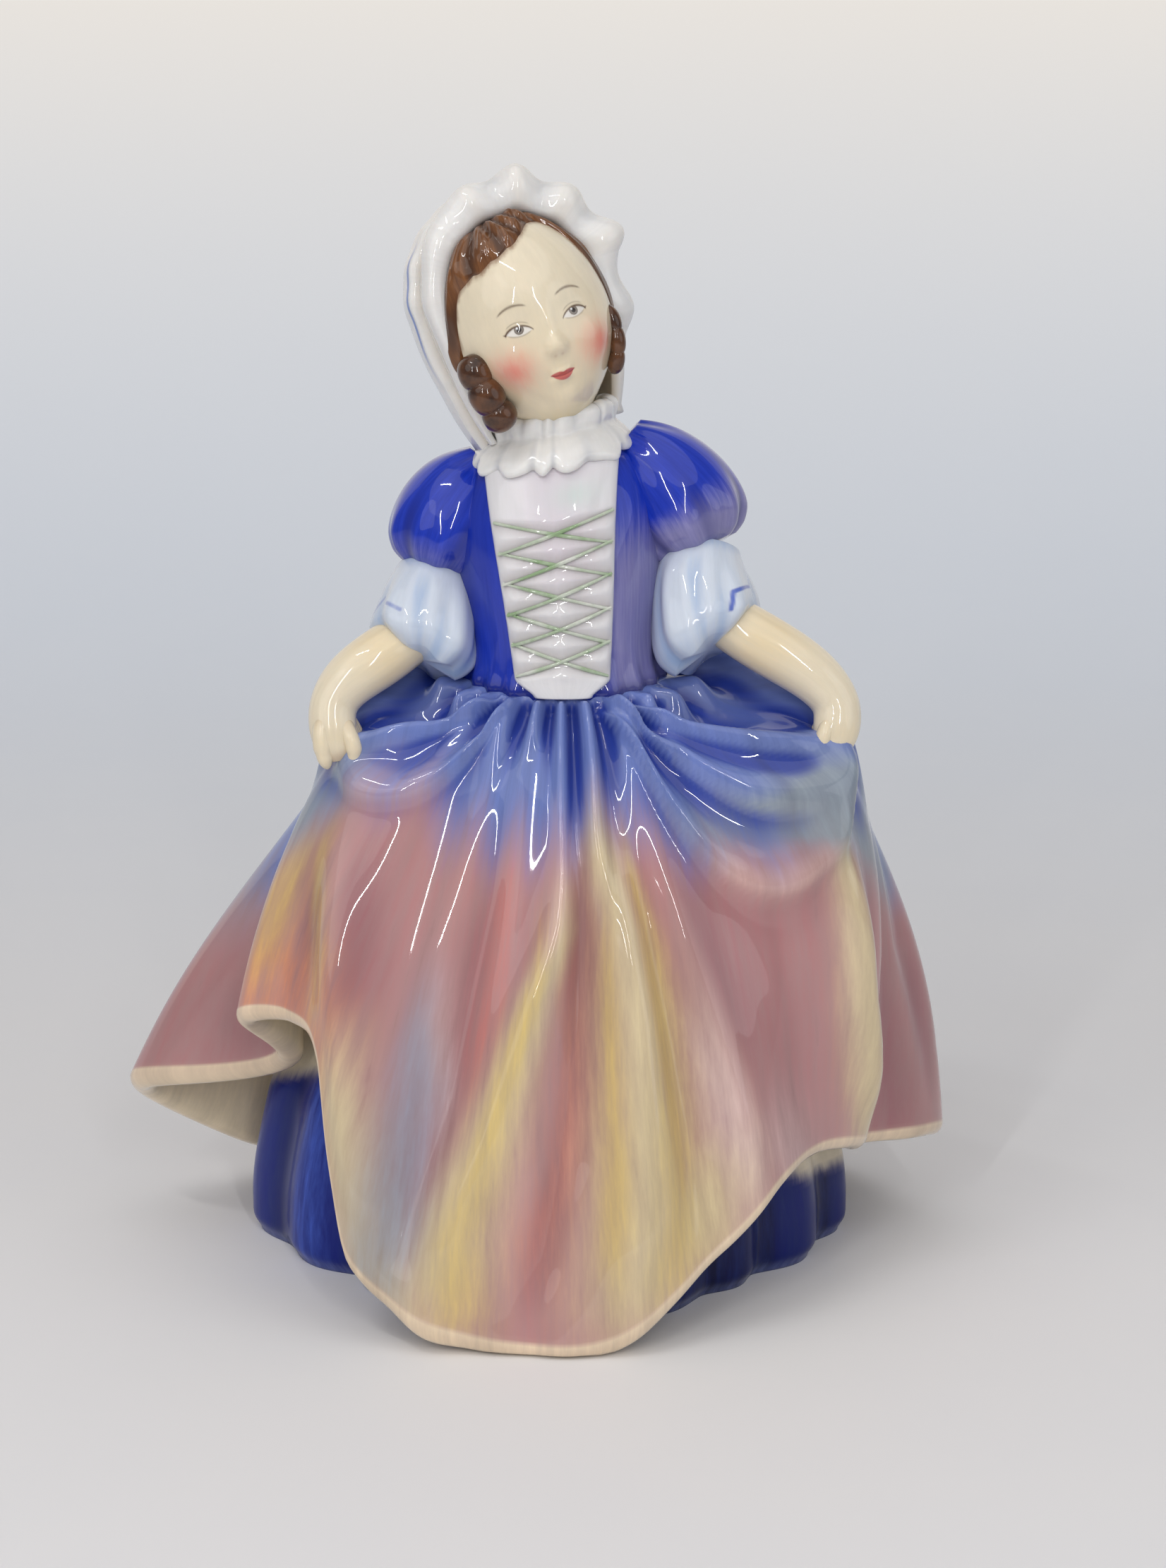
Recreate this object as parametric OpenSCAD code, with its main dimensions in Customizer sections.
// Bone china figurine: a girl in a frilled bonnet, holding out her overskirt as she curtsies.
// Each node is one casting or hand-made sprig, luted to its neighbours with slip before firing.
// Millimetres, +Z up, the figure faces -Y, origin on the table under the middle of the figure.

/* [Waist and hips] */
// Height of the waist seam above the table
waist_z = 66.5; // [62:0.5:72]
// Width of the waist seam
waist_w = 22; // [20:0.5:24]
// Rise of the waist seam per millimetre from front to back
seam_tilt = 0.12; // [0:0.02:0.16]
// Depth of the waist seam
waist_d = 20; // [18:0.5:22]
// Radius of the gathered hips at front and back
hip_r = 16.5; // [15.5:0.5:18.5]
// Drop from the waist seam to the hip line
hip_drop = 9; // [7.5:0.5:11]
// Extra hip radius where the left hand lifts the cloth
left_lobe = 9; // [6:0.5:11]
// Extra hip radius where the right hand lifts the cloth
right_lobe = 15; // [12:0.5:17]
// Number of gathers round the waist
gather_count = 24; // [16:1:24]
// Depth of a gather
gather_depth = 0.7; // [0.3:0.1:1]
// Depth of the hollow between waist and hand
hollow_depth = 3; // [1.5:0.5:3.5]
// Height of the highest fold that runs down the drape
drape_fold = 1.8; // [1:0.1:2.2]

/* [Overskirt hem] */
// Reach of the hem at the front
hem_front_r = 33.5; // [32.5:0.5:36]
// Reach of the hem at the back
hem_back_r = 37; // [36:0.5:40]
// Reach of the left flare's tip
left_flare_r = 48.3; // [45:0.1:51]
// Height of the hem at the left flare's tip
left_flare_lift = 18; // [14:0.5:21]
// Reach of the left rolled fold
left_roll_r = 36; // [34.5:0.5:38]
// Height of the hem over the left rolled fold
left_lift = 32.5; // [28:0.5:36]
// Reach of the crease between rolled fold and left flare
left_crease_r = 31; // [30:0.5:33]
// Reach of the right flare's tip
right_flare_r = 44.5; // [42:0.5:47]
// Height of the hem at the right flare's tip
right_flare_lift = 13; // [10:0.5:16]
// Height of the hem over the right ridge
right_lift = 18; // [15:0.5:21]
// Height of the hem at the back
back_lift = 3.2; // [2.5:0.1:6]
// Wall of the overskirt casting
skirt_wall = 2.1; // [1.7:0.1:2.6]

/* [Petticoat and base] */
// Reach of the petticoat's foot at the front
foot_front_r = 26.5; // [25:0.1:28.5]
// Reach of the petticoat's foot at the left
foot_left_r = 34.2; // [32.5:0.1:36]
// Reach of the petticoat's foot at the right
foot_right_r = 33; // [31.5:0.5:34.5]
// Reach of the petticoat's foot at the back
foot_back_r = 32.5; // [31:0.5:33.5]
// Height of the petticoat's crown plate
crown_z = 50; // [46:0.5:53]
// Wall of the petticoat casting
petticoat_wall = 2.6; // [2:0.1:3]
// Number of petticoat folds
fold_count = 16; // [16:1:26]
// Depth of a petticoat fold
fold_depth = 0.9; // [0.4:0.1:1.2]
// Thickness of the base slab
slab_t = 2.4; // [1.8:0.1:3]
// Height of the base slab above the table
slab_recess = 1; // [0.6:0.1:1.6]
// Radius of the firing vent in the base slab
vent_r = 3; // [2:0.25:4]

/* [Bodice] */
// Height of the bodice from waist seam to neck
bodice_h = 25.5; // [23:0.5:28]
// Width across the chest
chest_w = 22.4; // [20.5:0.2:24]
// Depth through the chest
chest_d = 19.6; // [18:0.2:21]
// Diameter of the neck face
neck_w = 12.6; // [11.6:0.2:14]
// Rise of the right shoulder over the left
shoulder_rise = 2.6; // [0:0.2:3.6]
// Width of the stomacher at its top
stomacher_top_w = 13.4; // [11:0.2:15]
// Width of the stomacher above its point
stomacher_low_w = 9.4; // [8:0.2:11]
// Height of the stomacher
stomacher_h = 21.5; // [19:0.5:22]
// Thickness of the stomacher
stomacher_t = 0.9; // [0.6:0.1:1.4]
// Number of crossings in the lacing
lace_count = 5; // [3:1:6]
// Thickness of the lacing cord
lace_d = 0.7; // [0.5:0.05:0.9]

/* [Sleeves and arms] */
// Radius of a puffed sleeve at its fullest
puff_r = 6; // [5.4:0.1:6.4]
// Radius of a cuff at its hem
cuff_r = 5.4; // [4.8:0.1:6]
// Radius of a forearm below the cuff
forearm_r = 3; // [3:0.1:4]
// Radius of a wrist
wrist_r = 2.3; // [2.2:0.1:2.8]
// Radius of a finger
finger_r = 1.05; // [0.9:0.05:1.2]

/* [Head and bonnet] */
// Width of the head
head_w = 17.8; // [16.6:0.2:18.6]
// Depth of the head
head_d = 18.6; // [17.4:0.2:19.6]
// Height of the head from chin to crown
head_h = 23; // [21.5:0.5:24]
// Turn of the head to the right
head_turn = 16; // [0:1:25]
// Lean of the head to the left
head_lean = 18; // [0:1:24]
// Backward tilt of the head
head_nod = 8; // [0:1:14]
// Radius of the neck
neck_r = 4.6; // [4:0.1:5]
// Wall of the bonnet
bonnet_wall = 1.6; // [1.3:0.1:1.9]
// Projection of the bonnet's frill
frill_w = 4.2; // [3:0.2:5]
// Number of waves in the bonnet's frill
frill_waves = 10; // [7:1:12]
// Number of scallops in the collar
collar_waves = 14; // [10:1:16]
// Height of the collar band
collar_h = 5.2; // [4.6:0.2:6]

/* [Joints] */
// Gap left for slip between luted pieces
slip = 0.1; // [0.05:0.05:0.2]
// Radius of the bodice's spigot
spigot_r = 4; // [3.5:0.25:4.5]
// Length of the spigot below the overskirt's top plate
spigot_l = 6; // [4:0.5:8]
// Radius of the head's neck peg
peg_r = 3; // [2.5:0.25:3.5]
// Length of the neck peg
peg_l = 6; // [4:0.5:8]
// Radius of the forearm pegs
arm_peg_r = 1.6; // [1.3:0.1:1.9]
// Length of the forearm pegs
arm_peg_l = 4; // [3:0.5:5]
// Radius of the airway that joins the hollow castings
airway_r = 1.8; // [1.4:0.1:2.2]

/* [Hidden] */
$fn = 48;

china_white = "#e9e6ea";
cloth_blue = "#2338a8";
skirt_pink = "#bf938f";
skin_tone = "#e3cfae";
hair_brown = "#5a3519";
lace_green = "#8fa98a";

// Mesh fineness of the castings
skirt_cols = 108;
skirt_rows = 17;
inner_rows = 5;
bodice_cols = 40;
bodice_rows = 10;

// Middle of the waist seam, which the skirt, bodice and spigot share
waist_x = 1.5;
waist_y = -1.8;
neck_z = waist_z + bodice_h;
neck_x = 0.2;
neck_y = -0.4;
head_c = [neck_x - 2.4, neck_y - 2.1, neck_z + 11.5];

function lerp(a, b, t) = a + (b - a) * t;
function clamp01(t) = min(1, max(0, t));
function smooth(t) = let (c = clamp01(t)) c * c * (3 - 2 * c);
function bump(x, w) = exp(-pow(x / w, 2));
function wrap(a) = a - 360 * floor((a + 180) / 360);
function unit(v) = v / norm(v);

// Uniform cubic B-spline through the first and last of its control points, at t from 0 to 1
function bspline(cp, t) =
    let (n = len(cp) - 1, s = clamp01(t) * n, i = min(floor(s), n - 1), f = s - i,
         p1 = cp[i], p2 = cp[i + 1],
         p0 = i > 0 ? cp[i - 1] : 2 * p1 - p2,
         p3 = i + 2 <= n ? cp[i + 2] : 2 * p2 - p1)
    (p0 * pow(1 - f, 3) + p1 * (3 * pow(f, 3) - 6 * f * f + 4)
        + p2 * (-3 * pow(f, 3) + 3 * f * f + 3 * f + 1) + p3 * pow(f, 3)) / 6;

// Closed smooth curve through stations [angle, value, ...] in rising angle, at angle a
function station_angle(st, i) = st[(i + len(st)) % len(st)][0] + 360 * floor(i / len(st));
function station_value(st, i) = let (s = st[(i + len(st)) % len(st)]) [for (k = [1:len(s) - 1]) s[k]];
function closed_curve(st, a) =
    let (w = st[0][0] + wrap(a - st[0][0] - 180) + 180,
         i = max([for (k = [0:len(st) - 1]) if (st[k][0] <= w + 1e-6) k]),
         a0 = station_angle(st, i), a1 = station_angle(st, i + 1), t = (w - a0) / (a1 - a0),
         p0 = station_value(st, i), p1 = station_value(st, i + 1),
         m0 = (p1 - station_value(st, i - 1)) / (a1 - station_angle(st, i - 1)) * (a1 - a0),
         m1 = (station_value(st, i + 2) - p0) / (station_angle(st, i + 2) - a0) * (a1 - a0))
    p0 * (2 * pow(t, 3) - 3 * t * t + 1) + m0 * (pow(t, 3) - 2 * t * t + t)
        + p1 * (3 * t * t - 2 * pow(t, 3)) + m1 * (pow(t, 3) - t * t);

// Closed solid from rings of points: each ring has the same count, and flat fans close both ends
module ring_solid(rings) {
    n = len(rings[0]);
    m = len(rings);
    polyhedron(
        points = [for (r = rings) each r],
        faces = concat(
            [[for (i = [0:n - 1]) i]],
            [for (j = [0:m - 2], i = [0:n - 1]) let (k = (i + 1) % n)
                each [[j * n + i, (j + 1) * n + i, (j + 1) * n + k],
                      [j * n + i, (j + 1) * n + k, j * n + k]]],
            [[for (i = [n - 1:-1:0]) (m - 1) * n + i]]),
        convexity = 8);
}

// Closed ring-shaped solid: the last ring joins the first again
module loop_solid(rings) {
    n = len(rings[0]);
    m = len(rings);
    polyhedron(
        points = [for (r = rings) each r],
        faces = [for (j = [0:m - 1], i = [0:n - 1]) let (k = (i + 1) % n, q = (j + 1) % m)
            each [[j * n + i, q * n + i, q * n + k], [j * n + i, q * n + k, j * n + k]]],
        convexity = 8);
}

// First child less the others, taken as one mesh because all of them are faceted castings
module fettled() {
    resize([0, 0, 0]) difference() {
        children(0);
        children([1:$children - 1]);
    }
}

// Several faceted children as one mesh
module luted() {
    resize([0, 0, 0]) union() children();
}

// Ring across a path: centre, two unit directions and two radii
function oval_ring(c, u, v, ru, rv, n) =
    [for (i = [0:n - 1]) let (a = 360 * i / n) c + u * ru * cos(a) + v * rv * sin(a)];

// Tube along control points [x, y, z, radius, flattening], with rings square to the path
function tube_rings(cp, n, m, up = [0, 0, 1]) =
    [for (j = [0:m])
        let (t = j / m, p = bspline(cp, t), q = bspline(cp, min(1, t + 0.01)), b = bspline(cp, max(0, t - 0.01)),
             d = unit([q.x - b.x, q.y - b.y, q.z - b.z]), s = unit(cross(d, up)), w = cross(d, s))
        oval_ring([p.x, p.y, p.z], s, w, p[3], p[3] * p[4], n)];

// Skirt: each angle has a profile of control points [radius, height] from waist to hem
rim_drop = skirt_wall * 0.45;
hem_rest = rim_drop + 0.45;
left_hand_a = -66;
right_hand_a = 70;
lobe_w = 27;
top_plate = 3;
hem_stations = [
    [-180, hem_back_r, back_lift],
    [-151, hem_back_r + 0.8, back_lift],
    [-131, hem_back_r + 1.5, back_lift + 1],
    [-113, left_flare_r - 7.5, left_flare_lift - 10.5],
    [-96, left_flare_r, left_flare_lift],
    [-81, left_crease_r, left_lift - 9],
    [-70.5, left_roll_r, left_lift - 1.5],
    [-60.5, left_roll_r - 3.4, left_lift],
    [-48, hem_front_r - 0.8, left_lift - 3],
    [-41, hem_front_r + 0.8, left_lift * 0.55],
    [-36.5, hem_front_r + 1.6, left_lift * 0.3],
    [-28.5, hem_front_r + 0.8, hem_rest + 4],
    [-15.5, hem_front_r - 0.2, hem_rest + 1],
    [0, hem_front_r, hem_rest],
    [11.5, hem_front_r - 0.2, hem_rest + 0.7],
    [23, hem_front_r, right_lift * 0.36],
    [34, hem_front_r + 0.3, right_lift * 0.63],
    [45.5, hem_front_r + 0.8, right_lift * 0.92],
    [58, hem_front_r + 1, right_lift],
    [69, hem_front_r + 2.4, right_lift - 1.2],
    [80, right_flare_r - 9, right_flare_lift + 1.5],
    [92.5, right_flare_r, right_flare_lift],
    [106, right_flare_r - 1.6, right_flare_lift - 4],
    [125, hem_back_r + 2.6, back_lift + 2],
    [151, hem_back_r + 0.8, back_lift]];
// Long folds of the drape: half width, share of the highest fold, and rows of [height, angle] down its line
drawn_waist_z = 66.5;
fold_lines = [
    [6, 0.72, [[4, -24], [9.5, -33], [16.5, -37], [28, -43], [40, -50], [54, -60]]],
    [5.5, 0.94, [[4, -21], [15, -17], [22, -12], [29.5, -8], [37, -3.7], [43, 1], [54, 6]]],
    [6, 1, [[5, 17], [15, 19], [24, 20], [34, 20], [43, 18], [54, 11]]],
    [5, 0.5, [[12, 41], [24, 38], [31, 36], [45, 31], [54, 26]]],
    [5, 0.56, [[15, 74], [24, 69], [33, 66], [52, 65]]],
    [5, -0.56, [[8, -31], [13, -29], [20, -26], [27, -23], [34, -22], [46, -20]]],
    [5, -0.72, [[4, -4], [12, 0], [20, 4], [27, 6.4], [35, 8], [46, 8]]],
    [4.5, -0.5, [[8, 30], [20, 30], [30, 28], [42, 25]]],
    [7, -0.44, [[16, 55], [30, 52], [46, 48]]],
    [5, -0.39, [[30, -52], [40, -57], [50, -63]]],
    [8, 0.72, [[6, 118], [46, 112]]],
    [9, 0.72, [[6, 150], [46, 146]]],
    [9, 0.67, [[6, 178], [46, 182]]],
    [9, 0.72, [[6, -152], [46, -148]]],
    [8, 0.67, [[6, -122], [46, -118]]]];

function plain_hem(a) = lerp(hem_front_r, hem_back_r, (1 - cos(a)) / 2) + 5 * pow(sin(a), 2);
function waist_reach(a) = 1 / norm([2 * sin(a) / waist_w, 2 * cos(a) / waist_d]);
function hand_pull(a) = [bump(wrap(a - left_hand_a + 8), lobe_w), bump(wrap(a - right_hand_a - 6), lobe_w)];
function skirt_control(a) =
    let (hem = closed_curve(hem_stations, a), w = waist_reach(a), seam = waist_z - seam_tilt * w * cos(a),
         pull = hand_pull(a),
         side = max(pull),
         hip = [hip_r + left_lobe * pull[0] + right_lobe * pull[1], waist_z - hip_drop + 3 * side],
         plain = plain_hem(a), fold = hem[0] - plain, belly = 1 + 3 * bump(wrap(a - 92), 35))
    [[w, seam], [lerp(w, hip[0], 0.45), lerp(seam, hip[1], 0.32)],
     hip,
     [lerp(hip[0], plain, 0.45) + 0.4 * fold + belly, lerp(hip[1], hem[1], 0.4)],
     [lerp(hip[0], plain, 0.78) + 0.78 * fold + 0.8 * belly, lerp(hip[1], hem[1], 0.74)],
     hem];

function gather(a, v) = gather_depth * cos(gather_count * a) * smooth(v / 0.1) * (1 - smooth((v - 0.25) / 0.35));
// The folds fade out under the waist, and a little at the hem
function fold(a, height, hem) =
    let (z = height * drawn_waist_z / waist_z)
    drape_fold * smooth((60 - z) / 22) * (0.4 + 0.6 * smooth((height - hem) / 9))
        * sum([for (f = fold_lines) f[1] * bump(wrap(a - lookup(z, f[2])), f[0])]);
function upward(list) = [for (i = [len(list) - 1:-1:0]) list[i]];
function sum(list, i = 0) = i < len(list) ? list[i] + sum(list, i + 1) : 0;
function hollow(a, v) = hollow_depth * bump(v - 0.17, 0.09)
    * (bump(wrap(a - left_hand_a - 4), 13) + bump(wrap(a - right_hand_a + 6), 15));

// Drawn folds that run to the hands: two angles, their two rows, sag, half width and height
swags = [
    [72, 0.37, 34, 0.05, 0.06, 0.05, 1.6], [72, 0.4, 27, 0.07, 0.16, 0.055, 1.6], [70, 0.43, 21, 0.1, 0.26, 0.06, 1.4],
    [-66, 0.38, -36, 0.05, 0.03, 0.055, 1.7], [-64, 0.43, -28, 0.13, 0.14, 0.06, 1.3],
    [-76, 0.34, -100, 0.05, -0.02, 0.1, 2.8], [80, 0.34, 106, 0.05, -0.02, 0.1, 3.2]];
function swag(a, v) = sum([for (w = swags)
    let (s = (a - w[0]) / (w[2] - w[0]), c = clamp01(s), row = lerp(w[1], w[3], c) + 4 * w[4] * c * (1 - c))
    w[6] * bump(v - row, w[5]) * smooth((s + 0.15) / 0.2) * (1 - smooth((s - 0.85) / 0.3))]);

// Profile of the overskirt's outer face at angle a, as [radius, height] pairs from waist to hem
function row_share(j, rows) = pow(j / rows, 1.2);
function smooth_profile(a, rows) =
    let (cp = skirt_control(a))
    [for (j = [0:rows]) let (v = row_share(j, rows)) bspline(cp, v) - [0, hollow(a, v) * smooth(v / 0.03)]];
function skirt_profile(a, rows) =
    let (p = smooth_profile(a, rows), hem = p[rows][1])
    [for (j = [0:rows]) let (v = row_share(j, rows))
        p[j] + profile_normal(p, j) * (gather(a, v) + fold(a, p[j][1], hem) + swag(a, v) * smooth(v / 0.03))];

// Unit normal of a profile at row j, away from the figure's axis
function profile_normal(p, j) =
    let (d = unit(p[min(j + 1, len(p) - 1)] - p[max(j - 1, 0)])) [-d[1], d[0]];
function offset_profile(p, by) = [for (j = [0:len(p) - 1]) p[j] + profile_normal(p, j) * by];

// Point of the skirt from its angle and profile pair, with the waist's middle easing to the axis below
function skirt_point(a, p) =
    let (k = smooth((p[1] - 20) / (waist_z - 20)))
    [waist_x * k + p[0] * sin(a), waist_y * k - p[0] * cos(a), p[1]];
function skirt_angles() = [for (i = [0:skirt_cols - 1]) 360 * i / skirt_cols - 180];
function rings_of(profiles) =
    [for (j = [0:len(profiles[0]) - 1]) [for (i = [0:skirt_cols - 1]) skirt_point(skirt_angles()[i], profiles[i][j])]];

outer_profiles = [for (a = skirt_angles()) skirt_profile(a, skirt_rows)];
// The inner face stops under the top plate, and the hem's rim is rounded between the two faces
function shell_profile(outer) =
    let (inner = offset_profile(outer, -skirt_wall), last = len(outer) - 1,
         down = unit(outer[last] - outer[last - 1]),
         rim = (outer[last] + inner[last]) / 2 + down * rim_drop,
         back = [for (j = [inner_rows:-1:0]) let (s = lerp(2, last, j / inner_rows), i = min(floor(s), last - 1))
             lerp(inner[i], inner[i + 1], s - i)])
    concat(outer, [rim], [for (p = back) [max(p[0], 8.2), min(p[1], waist_z - top_plate - seam_tilt * waist_d / 2)]]);

skirt_reach = [for (r = rings_of([for (a = skirt_angles()) smooth_profile(a, skirt_rows)])) each r];
// Middle of the skirt's outline before it is folded, which the origin sits under
middle = [for (k = [0, 1]) let (v = [for (p = skirt_reach) p[k]]) (min(v) + max(v)) / 2];

module skirt_form(grow = 0) {
    ring_solid(rings_of([for (p = outer_profiles) upward(offset_profile(p, grow))]));
}

module overskirt() {
    color(skirt_pink) difference() {
        ring_solid(rings_of([for (p = outer_profiles) upward(shell_profile(p))]));
        translate([waist_x, waist_y, waist_z - 2 * top_plate]) cylinder(r = spigot_r + slip, h = 3 * top_plate);
    }
}

// Petticoat: a folded bell kept inside the overskirt
foot_stations = [
    [-180, foot_back_r], [-140, foot_back_r + 0.5], [-98, foot_left_r], [-80, foot_left_r - 4.6],
    [-64, foot_front_r - 0.8], [-42, foot_front_r - 1.6], [-20, foot_front_r - 0.4], [0, foot_front_r],
    [20, foot_front_r - 0.4], [40, foot_front_r - 1.8], [57, foot_front_r - 1], [76, foot_right_r - 4.4],
    [96, foot_right_r], [140, foot_back_r + 0.5]];
petticoat_levels = [0, 2.5, 8, 15, 22, 30, 38, 44];
tube_wall = 2.2;
crown_r = spigot_r + slip + tube_wall + 3;

function bell(a, z) =
    let (foot = closed_curve(foot_stations, a)[0])
    lerp(foot * (1 - 0.09 * smooth((z - 4) / 20)), crown_r, smooth((z - 16) / (crown_z + 6 - 16)))
        + fold_depth * cos(fold_count * a) * (1 - smooth((z - 20) / 24)) - 0.9 * (1 - smooth(z / 2.5));
function under_skirt(profile, z) =
    let (hem = profile[len(profile) - 1], inner = offset_profile(profile, -skirt_wall),
         edge = inner[len(inner) - 1])
    z > edge[1] ? lookup(z, [for (j = [len(inner) - 1:-1:4]) [inner[j][1], inner[j][0]]])
                : edge[0] + 1.5 * (edge[1] - z);
function petticoat_profile(i) =
    let (a = skirt_angles()[i], rows = concat(petticoat_levels, [crown_z]))
    [for (z = rows) [min(bell(a, z), under_skirt(outer_profiles[i], z) - slip - 0.4), z]];
function petticoat_shell(i) =
    let (p = petticoat_profile(i), wall_in = min(p[0][0], p[1][0], p[2][0]) - petticoat_wall,
         top = len(p) - 1)
    concat([[wall_in, 0]], p,
        [[max(p[top][0] - petticoat_wall, 3), crown_z - petticoat_wall]],
        [for (j = [top - 2:-1:3]) [p[j][0] - petticoat_wall, p[j][1]]],
        [[wall_in, slab_recess + slab_t + 1]]);
petticoat_shells = [for (i = [0:skirt_cols - 1]) petticoat_shell(i)];

module petticoat() {
    tube_top = waist_z - top_plate - seam_tilt * waist_d / 2 - slip;
    color(cloth_blue) difference() {
        union() {
            loop_like_bell(petticoat_shells);
            translate([waist_x, waist_y, crown_z - petticoat_wall])
                cylinder(r = spigot_r + slip + tube_wall, h = tube_top - crown_z + petticoat_wall);
        }
        translate([waist_x, waist_y, crown_z - 2 * petticoat_wall])
            cylinder(r = spigot_r + slip, h = tube_top - crown_z + 3 * petticoat_wall);
    }
}

// Bell whose profiles run from the foot's inner edge up the outside, across the crown and down the inside
module loop_like_bell(profiles) {
    crown = len(petticoat_levels) + 1;
    rings = rings_of(profiles);
    n = skirt_cols;
    m = len(rings);
    polyhedron(
        points = [for (r = rings) each r],
        faces = concat(
            [for (j = [0:m - 1], i = [0:n - 1]) if (j != crown) let (k = (i + 1) % n, q = (j + 1) % m)
                each [[j * n + i, q * n + i, q * n + k], [j * n + i, q * n + k, j * n + k]]],
            [[for (i = [n - 1:-1:0]) crown * n + i]],
            [[for (i = [0:n - 1]) (crown + 1) * n + i]]),
        convexity = 8);
}

module base_slab() {
    outline = [for (i = [0:skirt_cols - 1])
        let (p = skirt_point(skirt_angles()[i], [petticoat_shells[i][0][0] - slip, 0])) [p.x, p.y]];
    color(china_white) translate([0, 0, slab_recess]) difference() {
        linear_extrude(slab_t) polygon(outline);
        translate([0, 0, -slab_t]) cylinder(r = vent_r, h = 3 * slab_t);
    }
}

// Bodice: oval sections [half width, half depth, centre x, centre y] from waist to neck
bodice_sections = [
    [waist_w / 2, waist_d / 2, waist_x, waist_y],
    [waist_w / 2 - 0.7, waist_d / 2 - 0.6, waist_x - 0.2, waist_y + 0.2],
    [lerp(waist_w, chest_w, 0.5) / 2, lerp(waist_d, chest_d, 0.5) / 2, waist_x - 0.4, waist_y + 0.3],
    [chest_w / 2, chest_d / 2, waist_x - 0.7, waist_y + 0.5],
    [chest_w / 2 + 0.6, chest_d / 2 - 0.3, waist_x - 1, waist_y + 0.8],
    [chest_w / 2 - 0.6, chest_d / 2 - 1.6, neck_x + 0.1, neck_y],
    [neck_w / 2, neck_w / 2 - 0.4, neck_x, neck_y]];

function shoulder_tilt(x, t) = shoulder_rise * x / chest_w * smooth(t / 0.6) * (1 - smooth((t - 0.86) / 0.14));
// Point of the bodice at angle a from the front, t from waist to neck, standing out by grow
function bodice_point(a, t, grow = 0) =
    let (s = bspline(bodice_sections, t), x = (s[0] + grow) * sin(a))
    [s[2] + x, s[3] - (s[1] + grow) * cos(a), waist_z + bodice_h * t + shoulder_tilt(x, t)
        - seam_tilt * waist_reach(a) * cos(a) * (1 - smooth(t / 0.6))];

module bodice_form(grow = 0) {
    ring_solid([for (j = [0:bodice_rows])
        [for (i = [0:bodice_cols - 1]) bodice_point(360 * i / bodice_cols, j / bodice_rows, grow)]]);
}

module bodice() {
    spigot = top_plate + spigot_l;
    color(cloth_blue) difference() {
        union() {
            bodice_form();
            translate([waist_x, waist_y, waist_z - spigot]) cylinder(r = spigot_r, h = spigot + 2);
        }
        translate([neck_x, neck_y, neck_z - peg_l - slip]) cylinder(r = peg_r + slip, h = 2 * peg_l);
        translate([waist_x, waist_y, waist_z - 2 * spigot]) cylinder(r = airway_r, h = 2 * spigot + bodice_h - peg_l);
    }
}

// Stomacher: a tapered panel laid on the front of the bodice, pointed at the waist
panel_foot = 0.5;
panel_cols = 10;
panel_rows = 9;
function panel_half(t) = lerp(stomacher_low_w, stomacher_top_w, t) / 2 * sqrt(smooth(t / 0.12) * 0.9 + 0.1);
function panel_point(s, t, grow) =
    let (bt = (panel_foot + (stomacher_h - panel_foot) * t) / bodice_h, w = bspline(bodice_sections, bt))
    bodice_point(asin(panel_half(t) * s / w[0]), bt, grow);

module panel_solid(low, high) {
    ring_solid([for (j = [0:panel_rows]) let (t = j / panel_rows)
        concat([for (i = [0:panel_cols]) panel_point(1 - 2 * i / panel_cols, t, low)],
               [for (i = [0:panel_cols]) panel_point(2 * i / panel_cols - 1, t, high * (1 - pow(2 * i / panel_cols - 1, 8) * 0.5))])]);
}

module stomacher() {
    color(china_white) panel_solid(slip, slip + stomacher_t);
}

// Lacing: crossed cords that lie on the stomacher, one slope of them over the other
lace_edge = 0.86;
lace_low = 0.1;
lace_high = 0.82;
module lacing() {
    step = (lace_high - lace_low) / lace_count;
    color(lace_green) luted() for (k = [0:lace_count - 1], side = [-1, 1]) {
        lift = slip + stomacher_t + lace_d * (side > 0 ? 0.62 : 0.42);
        cord = [for (i = [0:4])
            let (u = lerp(-0.04, 1.04, i / 4),
                 p = panel_point(side * lerp(-lace_edge, lace_edge, u), lace_low + step * (k + u), lift))
            tube_point(p, lace_d / 2, 0.9)];
        ring_solid(tube_rings(cord, 5, 4, [0, 1, 0]));
    }
}

// Collar: a scalloped band that stands round the neck and lies on the shoulders
collar_cols = 56;
function collar_ring(a, grow) =
    let (wave = cos(collar_waves * a), front = (1 + cos(a)) / 2, d = [sin(a), -cos(a), 0],
         c = [neck_x, neck_y, neck_z - 0.4], top_r = neck_r + 1.7,
         low_r = lerp(neck_w / 2 + 1.4, neck_w / 2 + 2.5, front), tilt = 1.2 * sin(a),
         top = c + d * (top_r + 0.25 * wave) + [0, 0, collar_h * 0.5 + tilt],
         low = c + d * (low_r + 0.8 * wave) + [0, 0, -collar_h * lerp(0.16, 0.44, front) + tilt],
         mid = lerp(top, low, 0.5) + d * (0.5 + 0.1 * wave), t = 0.8 + grow)
    [top + [0, 0, 0.4 + grow], top + d * t, mid + d * (t + 0.2), low + d * t, low - [0, 0, 0.7 + grow],
     low - d * t, mid - d * (t + 0.2), top - d * t];
module collar_form(grow = 0) {
    loop_solid([for (i = [0:collar_cols - 1]) collar_ring(360 * i / collar_cols, grow)]);
}
module neck_form(grow = 0) {
    translate([neck_x, neck_y, neck_z]) cylinder(r = neck_r + grow, h = head_c.z - neck_z);
}
module collar_frill() {
    color(china_white) fettled() {
        collar_form();
        bodice_form(slip);
        panel_solid(0, 2 * slip + stomacher_t);
        head_form(slip);
        neck_form(slip);
        sleeve_form(left_arm_line, slip);
        sleeve_form(right_arm_line, slip);
    }
}

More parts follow.
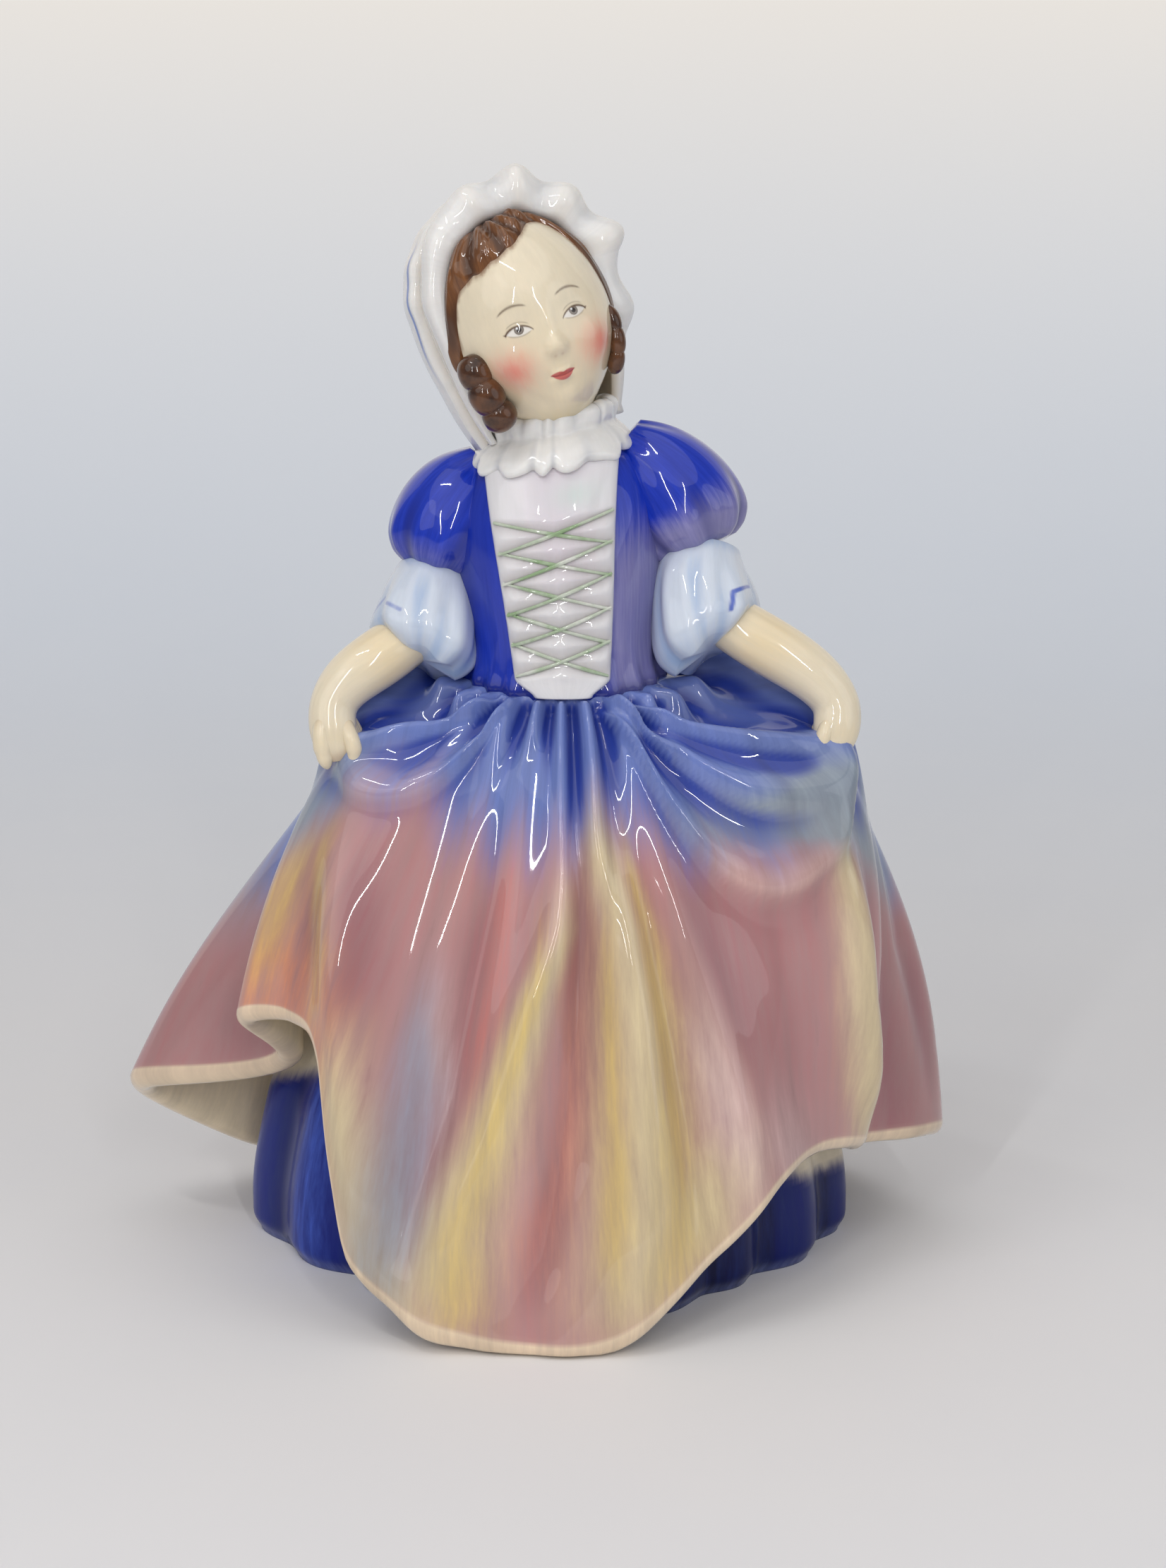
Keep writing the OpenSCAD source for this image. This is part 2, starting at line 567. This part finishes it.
// Arms: centre lines [x, y, height over the waist seam] for shoulder, puff, band, cuff hem and wrist
left_arm_line = [[-6.4, -0.3, 21.8], [-10.5, -0.6, 15.6], [-12.3, -1.8, 10.6], [-14, -6.4, 2.6], [-22.4, -9.6, -2.4]];
right_arm_line = [[7.8, -0.3, 24.2], [14, -0.6, 17.8], [16.4, -1.8, 13], [18, -6.4, 4.4], [30, -9, -2.2]];
function line_point(line, i) = line[i] + [0, 0, waist_z];
function tube_point(p, r, flat = 1) = [p.x, p.y, p.z, r, flat];
function cuff_axis(line) = unit(line_point(line, 3) - line_point(line, 2));

module sleeve_form(line, grow = 0) {
    shoulder = line_point(line, 0);
    puff = line_point(line, 1);
    band = line_point(line, 2);
    ring_solid(tube_rings([
        tube_point(shoulder + [0, 0, 0.5], puff_r * 0.45 + grow),
        tube_point(lerp(shoulder, puff, 0.45) + [0, 0, 1], puff_r * 0.95 + grow),
        tube_point(puff + [0, 0, 0.5], puff_r * 1.1 + grow),
        tube_point(lerp(puff, band, 0.6), puff_r + grow),
        tube_point(band + cuff_axis(line) * grow, cuff_r * 0.78 + grow)], 26, 8, [0, 1, 0]));
}
module sleeve(line) {
    color(cloth_blue) fettled() {
        sleeve_form(line);
        bodice_form(slip);
    }
}

// Cuff: an undersleeve that hangs from the band and opens where the forearm leaves it
module cuff_form(line, grow = 0) {
    band = line_point(line, 2) + cuff_axis(line) * slip;
    hem = line_point(line, 3);
    ring_solid(tube_rings([
        tube_point(band - cuff_axis(line) * grow, cuff_r * 0.8 + grow),
        tube_point(lerp(band, hem, 0.3), cuff_r + grow),
        tube_point(lerp(band, hem, 0.75), cuff_r * 1.12 + grow),
        tube_point(hem + cuff_axis(line) * grow, cuff_r * 1.04 + grow)], 26, 6, [0, 1, 0]));
}
module along(origin, axis) {
    translate(origin) rotate([0, acos(axis.z), atan2(axis.y, axis.x)]) children();
}
module cuff(line) {
    axis = cuff_axis(line);
    color(china_white) fettled() {
        cuff_form(line);
        bodice_form(slip);
        skirt_form(slip);
        sleeve_form(line, slip);
        along(line_point(line, 3) - axis * arm_peg_l, axis) cylinder(r = arm_peg_r + slip, h = 2 * arm_peg_l);
    }
}

module left_sleeve() sleeve(left_arm_line);
module right_sleeve() sleeve(right_arm_line);
module left_cuff() cuff(left_arm_line);
module right_cuff() cuff(right_arm_line);

// Forearm and hand: the fingers are ridges that close over the lifted cloth
arm_sides = 26;
function finger_ridge(a, t) = 0.13 * smooth((t - 0.66) / 0.14) * smooth(2 * sin(a)) * cos(9 * (a - 90) + 180);
function arm_rings(cp, m) =
    [for (j = [0:m])
        let (t = j / m, p = bspline(cp, t), q = bspline(cp, min(1, t + 0.01)), b = bspline(cp, max(0, t - 0.01)),
             d = unit([q.x - b.x, q.y - b.y, q.z - b.z]), s = unit(cross(d, [0, 1, 0])), w = cross(d, s))
        [for (i = [0:arm_sides - 1]) let (a = 360 * i / arm_sides, r = p[3] * (1 + finger_ridge(a, t)))
            [p.x, p.y, p.z] + s * r * cos(a) + w * r * p[4] * sin(a)]];
module arm(line, side) {
    axis = cuff_axis(line);
    elbow = line_point(line, 3) + axis * slip;
    wrist = line_point(line, 4);
    color(skin_tone) fettled() {
        union() {
            difference() {
                ring_solid(arm_rings([
                    tube_point(elbow, forearm_r),
                    tube_point(elbow + axis * 1.6 + [side, 0, 0], forearm_r * 1.04),
                    tube_point(lerp(elbow, wrist, 0.6) + [side * 0.6, 0, 0.6], forearm_r * 0.94),
                    tube_point(wrist, wrist_r),
                    tube_point(wrist + [-side * 0.2, -1.6, -2.6], wrist_r * 1.22, 0.8),
                    tube_point(wrist + [-side * 0.9, -2.4, -5], finger_r * 2.2, 0.7),
                    tube_point(wrist + [-side * 1.1, -2.2, -6], finger_r * 0.8, 0.8)], 12));
                cuff_form(line, slip);
            }
            along(elbow - axis * (arm_peg_l - slip), axis) cylinder(r = arm_peg_r, h = arm_peg_l + 1);
        }
        skirt_form(slip);
    }
}
module left_arm() arm(left_arm_line, -1);
module right_arm() arm(right_arm_line, 1);

// Head: modelled upright at its own centre, facing -Y, then posed
module head_pose() {
    translate(head_c) rotate([-head_nod, -head_lean, head_turn]) children();
}
head_cols = 32;
head_rows = 18;
// Relief of a plain child's face: longitude, latitude, two half widths, height
face_relief = [
    [0, -7, 8, 8, 1.3], [0, 4, 6, 12, 0.5], [22, 4, 11, 7, -0.6], [-22, 4, 11, 7, -0.6],
    [32, -18, 16, 14, 0.5], [-32, -18, 16, 14, 0.5], [0, -27, 11, 6, 0.45], [0, -50, 20, 12, 0.7]];
function face_height(lon, lat) =
    sum([for (f = face_relief) f[4] * bump(wrap(lon - f[0]), f[2]) * bump(lat - f[1], f[3])]);
function head_point(lon, lat, grow = 0) =
    let (jaw = 1 - 0.2 * smooth((-lat - 8) / 60), r = grow + face_height(lon, lat))
    [(head_w / 2 * jaw + r) * cos(lat) * sin(lon), -(head_d / 2 + r) * cos(lat) * cos(lon),
     (head_h / 2 + grow) * sin(lat)];
// Columns crowd towards the face, where the relief is
function head_longitude(i) = let (u = 360 * i / head_cols) u - 34 * sin(u);

module head_shape(grow = 0) {
    ring_solid([for (j = [0:head_rows]) let (lat = lerp(-86, 86, j / head_rows))
        [for (i = [0:head_cols - 1]) head_point(head_longitude(i), lat, grow)]]);
}
module head_form(grow = 0) head_pose() head_shape(grow);

module head() {
    color(skin_tone) union() {
        head_form();
        neck_form();
        translate([neck_x, neck_y, neck_z - peg_l]) cylinder(r = peg_r, h = peg_l + 2);
    }
}

// Hair: a wavy fringe under the brim, and ringlets beside the cheeks
hair_t = 1.3;
brim_y = 2.2;
fringe_low = [[0, -24], [0.09, 12], [0.15, 25], [0.21, 30], [0.31, 35], [0.42, 41], [0.52, 47], [0.62, 55],
    [0.72, 57], [0.8, 50], [0.88, 30], [0.95, 4], [1, -14]];
fringe_cols = 28;
fringe_lon = 77;
// The hair ends just in front of the brim's lip
fringe_y = brim_y - frill_w * 0.8 - 1.2;
function fringe_top(lon) = acos(min(0.99, -fringe_y / (head_d / 2 + hair_t) / cos(lon)));
module hair_fringe() {
    color(hair_brown) head_pose() ring_solid([for (i = [0:fringe_cols])
        let (s = i / fringe_cols, lon = lerp(-fringe_lon, fringe_lon, s), lo = lookup(s, fringe_low),
             hi = max(lo + 6, fringe_top(lon)), wave = 0.25 * cos(360 * 7 * s))
        concat([for (j = [0:4]) head_point(lon, lerp(lo, hi, j / 4), slip)],
               [for (j = [4:-1:0]) let (lat = lerp(lo, hi, j / 4)) head_point(lon, lat,
                   hair_t + wave * (1 - j / 4) + max(0, sin(lat)) * j / 4 - (j == 0 ? 0.5 : j == 4 ? 0.4 : 0))])]);
}
module ringlet(lon, top, drop, fat) {
    p = head_point(lon, top, 0.8);
    out = sign(lon);
    color(hair_brown) head_pose() fettled() {
        ring_solid(tube_rings([
            tube_point(p + [0, 0, 0.6], fat * 0.5),
            tube_point(p + [out * 0.4, -0.3, -drop * 0.14], fat * 1.1),
            tube_point(p + [out * 0.3, -0.4, -drop * 0.34], fat * 0.75),
            tube_point(p + [out * 0.2, -0.5, -drop * 0.5], fat * 1.2),
            tube_point(p + [0, -0.5, -drop * 0.68], fat * 0.75),
            tube_point(p + [out * -0.3, -0.5, -drop * 0.84], fat * 1.1),
            tube_point(p + [out * -0.6, -0.4, -drop], fat * 0.4)], 12, 14, [0, 1, 0]));
        head_shape(slip);
    }
}
module left_ringlets() ringlet(-64, 0, 9, 1.9);
module right_ringlet() ringlet(50, -6, 7, 1.1);

// Bonnet: a hood over the crown and back of the head, open to the face
bonnet_cols = 36;
bonnet_rows = 6;
brim_r = head_w / 2 + 0.2;
brim_drop = head_h / 2 - 1;
hood_c = [0.1, 4];
// Outline of the hood in the head's own frame: a round arch, straight sides and a level nape
function hood(a, grow) =
    let (b = abs(wrap(a)), side = wrap(a) < 0 ? -1 : 1, r = brim_r + grow, t = clamp01((b - 90) / 40),
         tuck = side < 0 ? 0.06 : 0.34,
         x = b < 90 ? r * sin(b) : r * (1 - tuck * t * t) * (b < 130 ? 1 : sin(90 * (180 - b) / 50)),
         z = b < 90 ? hood_c[1] + r * cos(b) : lerp(hood_c[1], -brim_drop, t) - (b > 130 ? grow * 0.5 : 0))
    [hood_c[0] + side * x, z];
function bonnet_ring(s, grow) =
    let (y = lerp(brim_y, head_d / 2 + 1.6 + grow, sin(90 * s)), k = pow(max(0.02, cos(89 * s)), 0.8))
    [for (i = [0:bonnet_cols - 1]) let (h = lerp([hood_c[0], 1], hood(360 * i / bonnet_cols, grow), k)) [h[0], y, h[1]]];
module bonnet() {
    color(china_white) fettled() {
        head_pose() ring_solid(concat(
            [for (j = [0:bonnet_rows - 1]) bonnet_ring(1 - j / bonnet_rows, 0)],
            [for (j = [0:bonnet_rows]) bonnet_ring(j / bonnet_rows, bonnet_wall)]));
        head_form(slip);
        neck_form(slip);
        collar_form(slip);
        head_pose() translate([0, -head_d / 2, -head_h * 1.5 + 3])
            cube([head_w * 0.9, head_d * 2, head_h * 2], center = true);
        head_pose() translate([0, 0, -brim_drop + 0.5 - head_h])
            cube([head_w * 3, head_d * 3, head_h * 2], center = true);
    }
}
frill_cols = 72;
frill_left = 128;
frill_right = 114;
function frill_ring(u) =
    let (a = lerp(-frill_left, frill_right, u), wave = cos(360 * frill_waves * u),
         h0 = hood(a, bonnet_wall * 0.5), h1 = hood(a, bonnet_wall * 0.5 + frill_w * 0.26 + 0.45 * wave),
         root = [h0[0], brim_y - slip, h0[1]], tip = [h1[0], brim_y - frill_w * 0.8, h1[1]],
         d = unit([h1[0] - h0[0], 0, h1[1] - h0[1]]), mid = lerp(root, tip, 0.55) + d * (0.2 + 0.3 * wave))
    [root - d * 0.8, root + d * 0.8, mid + d * 1.1, tip + d * 0.9, tip - [0, 0.7, 0], tip - d * 1.1, mid - d];
module bonnet_frill() {
    color(china_white) fettled() {
        head_pose() ring_solid([for (i = [0:frill_cols]) frill_ring(i / frill_cols)]);
        head_form(slip);
        sleeve_form(left_arm_line, slip);
        sleeve_form(right_arm_line, slip);
        collar_form(slip);
    }
}

module placed() translate([-middle[0], -middle[1], 0]) children();

placed() base_slab();
placed() petticoat();
placed() overskirt();
placed() bodice();
placed() stomacher();
placed() lacing();
placed() collar_frill();
placed() left_sleeve();
placed() right_sleeve();
placed() left_cuff();
placed() right_cuff();
placed() left_arm();
placed() right_arm();
placed() head();
placed() hair_fringe();
placed() left_ringlets();
placed() right_ringlet();
placed() bonnet();
placed() bonnet_frill();
